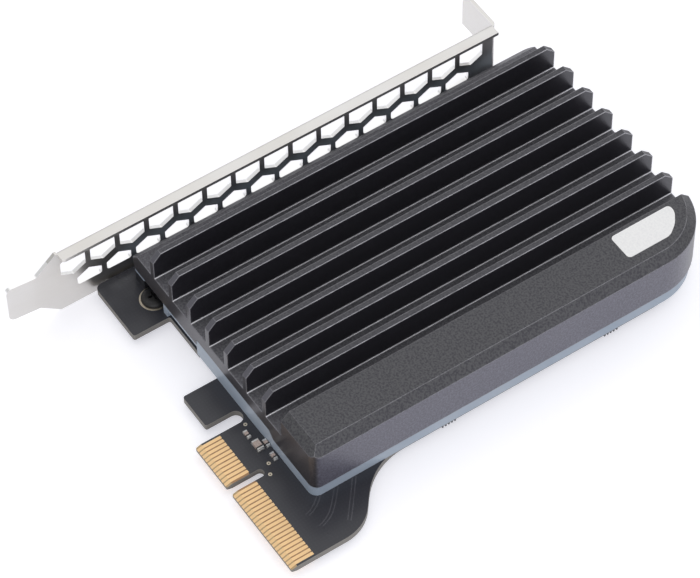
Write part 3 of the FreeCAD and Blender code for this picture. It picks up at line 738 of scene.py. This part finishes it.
def splineLine(points):
    curve = bpy.data.curves.new("route", "CURVE")
    curve.dimensions = "3D"
    spline = curve.splines.new("NURBS")
    spline.points.add(len(points) - 1)
    for point, (x, y) in zip(spline.points, points):
        point.co = (x, y, 0, 1)
    spline.order_u = 4
    spline.use_endpoint_u = True
    spline.resolution_u = 8
    holder = bpy.data.objects.new("route", curve)
    bpy.context.scene.collection.objects.link(holder)
    bpy.context.view_layer.update()
    line = bpy.data.meshes.new_from_object(holder.evaluated_get(bpy.context.evaluated_depsgraph_get()))
    bpy.data.objects.remove(holder)
    return line


# pairs of traces, just proud of the board
def signalTraces():
    look = {"width": 0.26 * mm, "lean": 0.7, "gap": 0.50 * mm, "thick": 0.018 * mm, "routes": (
        # each route's points, in millimetres
        ((22.6, 23.2), (24.5, 21.8), (28.9, 18.2), (31.2, 16.3), (32.0, 15.6)),
        ((22.3, 19.4), (24.2, 17.6), (27.6, 14.8), (29.3, 12.5), (29.9, 10.2)),
        ((22.0, 15.3), (24.0, 13.7), (25.9, 11.6), (26.2, 9.4)))}
    across = look["width"] * look["lean"]  # shared by X and Y, because the traces run diagonally
    mesh = bmesh.new()
    for route in look["routes"]:
        for shift in (-0.5 * look["gap"], 0.5 * look["gap"]):  # each route is a pair of traces
            line = splineLine([(x * mm + shift, y * mm + shift) for x, y in route])
            strip = bmesh.new()
            strip.from_mesh(line)
            verts = grownVerts(bmesh.ops.extrude_edge_only(strip, edges=strip.edges[:]))
            bmesh.ops.translate(strip, verts=verts, vec=(across, across, 0))
            thicken(strip, strip.faces, look["thick"])
            bmesh.ops.recalc_face_normals(strip, faces=strip.faces)
            strip.to_mesh(line)
            strip.free()
            mesh.from_mesh(line)
    closePiece("signalTraces", mesh, traceFinish)


# dark stubs on the board's long side, where it was broken from its panel; their dark colour is painted
# shade standing in for the shaded half holes there
def breakOffTeeth():
    look = {"rows": (45.9 * mm, 86.5 * mm), "count": 5, "pitch": 0.76 * mm, "width": 0.36 * mm,
            "reach": 0.36 * mm, "root": 0.1 * mm, "inset": 0.8 * mm, "face": 0.02 * mm, "round": 0.06 * mm,
            "sharpAngle": 50}
    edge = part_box("spacer_frame")[1][0] - look["inset"]  # the board's long side under the frame
    low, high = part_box("circuit_board")
    mesh = bmesh.new()
    for middle in look["rows"]:
        for index in range(look["count"]):
            centre = middle + (index - (look["count"] - 1) / 2) * look["pitch"]
            addBlock(mesh, (edge - look["root"], edge + look["reach"]),
                     (centre - look["width"] / 2, centre + look["width"] / 2),
                     (low[2] + look["face"], high[2] - look["face"]), 0.0, look["round"])
    closePiece("breakOffTeeth", mesh, traceFinish, look["sharpAngle"])


roundHeadScrews()
labelField()
solderFillets()
chipShadowBands()
viaEyes()
signalTraces()
breakOffTeeth()
print("stage: pieces made")


def makeFloor():
    look = {"size": 6.0, "drop": 0.02 * mm, "color": (0.76, 0.76, 0.76, 1), "glow": (0.92, 0.92, 1.0, 1),
            "glowLevel": 0.50}
    mesh = bmesh.new()
    bmesh.ops.create_grid(mesh, x_segments=1, y_segments=1, size=look["size"] / 2)
    bmesh.ops.translate(mesh, verts=mesh.verts, vec=(0, 0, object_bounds()[0][2] - look["drop"]))
    floor = meshObject("floor", mesh)
    material, tree, output = emptyMaterial("paleFloor")
    matt = addNode(tree, "ShaderNodeBsdfDiffuse")
    setInput(matt, "Color", look["color"])
    glow = addNode(tree, "ShaderNodeEmission")
    setInput(glow, "Color", look["glow"])
    path = addNode(tree, "ShaderNodeLightPath").outputs
    seen = mathNode(tree, "MAXIMUM", path["Is Camera Ray"], path["Is Glossy Ray"])
    tree.links.new(productOf(tree, seen, look["glowLevel"]), glow.inputs["Strength"])
    both = addNode(tree, "ShaderNodeAddShader")
    tree.links.new(matt.outputs["BSDF"], both.inputs[0])
    tree.links.new(glow.outputs["Emission"], both.inputs[1])
    tree.links.new(both.outputs["Shader"], output.inputs["Surface"])
    floor.data.materials.append(material)


def makeWorld():
    look = {"Color": (1.0, 1.0, 1.0, 1), "Strength": 0.60}
    world = bpy.data.worlds.new("studio")
    world.use_nodes = True
    for name, value in look.items():
        setInput(world.node_tree.nodes["Background"], name, value)
    bpy.context.scene.world = world


def addSoftLights():
    look = {"target": (0, 0.05, 0), "lamps": {
        "overhead": ((-0.50, 0.42, 0.95), (2.0, 1.7), 5.3, (1, 1, 1)),
        "frontFill": ((0.7, -0.6, 0.55), (0.8, 0.6), 1.6, (1, 1, 1)),
        "sideSoft": ((0.95, 0.45, 0.50), (0.9, 0.7), 1.8, (0.93, 0.93, 1.0))}}  # place, size, power, colour
    for name, (place, size, power, color) in look["lamps"].items():
        lamp = bpy.data.lights.new(name, "AREA")
        lamp.color = color
        lamp.shape = "RECTANGLE"
        lamp.size, lamp.size_y = size
        lamp.energy = power
        holder = bpy.data.objects.new(name, lamp)
        holder.location = place
        aim = Vector(look["target"]) - Vector(place)
        holder.rotation_euler = aim.to_track_quat("-Z", "Y").to_euler()
        bpy.context.scene.collection.objects.link(holder)


def makeCamera():
    look = {"place": (0.36455, -0.20000, 0.60195), "turn": (0.645809, 0.010722, 0.978662), "lens": 186.85,
            "sensor": 36.0, "nearest": 0.01}
    data = bpy.data.cameras.new("camera")
    data.lens = look["lens"]
    data.sensor_width = look["sensor"]
    data.sensor_fit = "HORIZONTAL"
    data.clip_start = look["nearest"]
    data.dof.use_dof = False
    camera = bpy.data.objects.new("camera", data)
    camera.location = look["place"]
    camera.rotation_euler = look["turn"]
    bpy.context.scene.collection.objects.link(camera)
    bpy.context.scene.camera = camera


makeFloor()
makeWorld()
addSoftLights()
makeCamera()
bpy.context.scene.view_settings.view_transform = "Standard"
print("stage: studio ready")
